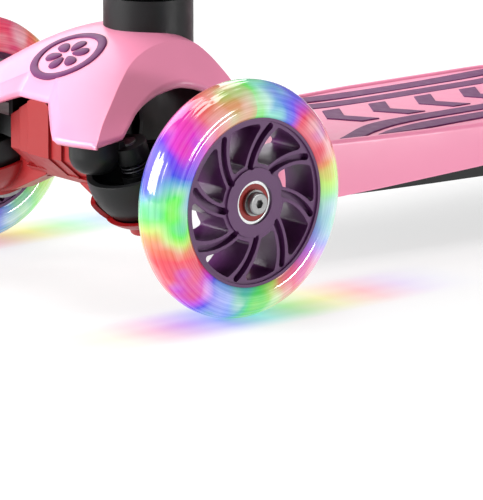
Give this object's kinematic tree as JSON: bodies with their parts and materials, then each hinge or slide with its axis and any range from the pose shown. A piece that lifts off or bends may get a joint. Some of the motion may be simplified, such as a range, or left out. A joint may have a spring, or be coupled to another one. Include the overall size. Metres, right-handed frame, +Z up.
{
  "type": "kick scooter",
  "caption": "Three-wheeled lean-to-steer kick scooter for young children, with lit clear front tyres, a low deck, an adjustable T-bar and a rear foot brake.",
  "frame": {"origin": "bottom centre of the whole scooter, on the floor", "axes": "+X to the rider's left, +Y towards the rear wheel, +Z up"},
  "size_m": [0.309, 0.56, 0.669],
  "materials": {
    "pink_plastic": "satin moulded",
    "purple_core": "satin moulded",
    "purple_inlay": "satin",
    "red_plastic": "satin moulded",
    "black_plastic": "fine grain",
    "black_paint": "satin",
    "anodised_tube": "satin anodised",
    "nylon": "matt",
    "zinc_steel": "zinc plated",
    "spring_steel": "drawn wire",
    "bearing_steel": "ground",
    "red_seal": "matt",
    "lit_clear_tyre": "clear cast, lit from inside",
    "milky_tyre": "milky cast",
    "lamp": "clear lamp",
    "grip_rubber": "ribbed"
  },
  "bodies": {
    "frame": {"axle_bolt_rear": "zinc_steel", "axle_spacers_rear": "zinc_steel", "bearing_inner_rear": "bearing_steel", "brake_pin": "zinc_steel", "brake_spring": "spring_steel", "centring_springs": "spring_steel", "clamp_bolt": "zinc_steel", "clamp_collar": "black_plastic", "column_bush": "nylon", "column_collar": "black_plastic", "column_shroud": "black_plastic", "column_tube": "black_paint", "deck": "pink_plastic", "deck_grip": "purple_inlay", "deck_screws": "zinc_steel", "deck_tray": "black_plastic", "fairing": "pink_plastic", "fairing_emblem": "purple_inlay", "fairing_screws": "zinc_steel", "front_chassis": "red_plastic", "kingpins": "zinc_steel", "steering_pod_left": "black_plastic", "steering_pod_right": "black_plastic"},
    "steering_left": {"knuckle_left": "black_plastic", "axle_bolt_left": "zinc_steel", "axle_spacers_left": "zinc_steel", "bearing_inner_left": "bearing_steel"},
    "steering_right": {"knuckle_right": "black_plastic", "axle_bolt_right": "zinc_steel", "axle_spacers_right": "zinc_steel", "bearing_inner_right": "bearing_steel"},
    "tie_rod": {"tie_rod": "zinc_steel", "tie_rod_pins": "zinc_steel"},
    "wheel_left": {"tyre_left": "lit_clear_tyre", "wheel_core_left": "purple_core", "bearing_outer_left": "bearing_steel", "bearing_seals_left": "red_seal", "bearing_balls_left": "bearing_steel", "light_ring_left": "lamp"},
    "wheel_right": {"tyre_right": "lit_clear_tyre", "wheel_core_right": "purple_core", "bearing_outer_right": "bearing_steel", "bearing_seals_right": "red_seal", "bearing_balls_right": "bearing_steel", "light_ring_right": "lamp"},
    "wheel_rear": {"tyre_rear": "milky_tyre", "wheel_core_rear": "purple_core", "bearing_outer_rear": "bearing_steel", "bearing_seals_rear": "red_seal", "bearing_balls_rear": "bearing_steel"},
    "t_bar": {"t_bar_stem": "anodised_tube", "t_joint": "black_plastic", "handlebar": "anodised_tube", "grip_left": "grip_rubber", "grip_right": "grip_rubber", "grip_caps": "black_plastic"},
    "clamp_lever": {"clamp_lever": "red_plastic"},
    "brake": {"brake_fender": "pink_plastic", "brake_pad": "zinc_steel"}
  },
  "joints": [
    {"name": "steer_left", "type": "hinge", "parent": "frame", "child": "steering_left", "pos_m": [0.06, -0.2416, 0.06], "axis": [0, -0.342, 0.9397], "range_deg": [-18, 18], "stiffness_Nm_per_rad": 14},
    {"name": "steer_right", "type": "hinge", "parent": "frame", "child": "steering_right", "pos_m": [-0.06, -0.2416, 0.06], "axis": [0, -0.342, 0.9397], "range_deg": [-18, 18], "stiffness_Nm_per_rad": 14},
    {"name": "tie_rod_pivot", "type": "hinge", "parent": "steering_left", "child": "tie_rod", "pos_m": [0.06, -0.1982, 0.05185], "axis": [0, -0.342, 0.9397], "range_deg": [-18, 18]},
    {"name": "roll_left", "type": "hinge", "parent": "steering_left", "child": "wheel_left", "pos_m": [0.109, -0.2196, 0.06], "axis": [1, 0, 0], "continuous": true},
    {"name": "roll_right", "type": "hinge", "parent": "steering_right", "child": "wheel_right", "pos_m": [-0.109, -0.2196, 0.06], "axis": [1, 0, 0], "continuous": true},
    {"name": "roll_rear", "type": "hinge", "parent": "frame", "child": "wheel_rear", "pos_m": [0, 0.24, 0.04], "axis": [1, 0, 0], "continuous": true},
    {"name": "bar_height", "type": "slide", "parent": "frame", "child": "t_bar", "axis": [0, 0, 1], "range_m": [0, 0.1]},
    {"name": "clamp_open", "type": "hinge", "parent": "frame", "child": "clamp_lever", "pos_m": [0.016, -0.1582, 0.386], "axis": [0, 0, 1], "range_deg": [0, 110]},
    {"name": "brake_press", "type": "hinge", "parent": "frame", "child": "brake", "pos_m": [0, 0.186, 0.05], "axis": [-1, 0, 0], "range_deg": [0, 2], "stiffness_Nm_per_rad": 12}
  ],
  "couplings": [
    {"joint": "steer_right", "follows": "steer_left", "ratio": 1},
    {"joint": "tie_rod_pivot", "follows": "steer_left", "ratio": -1}
  ]
}
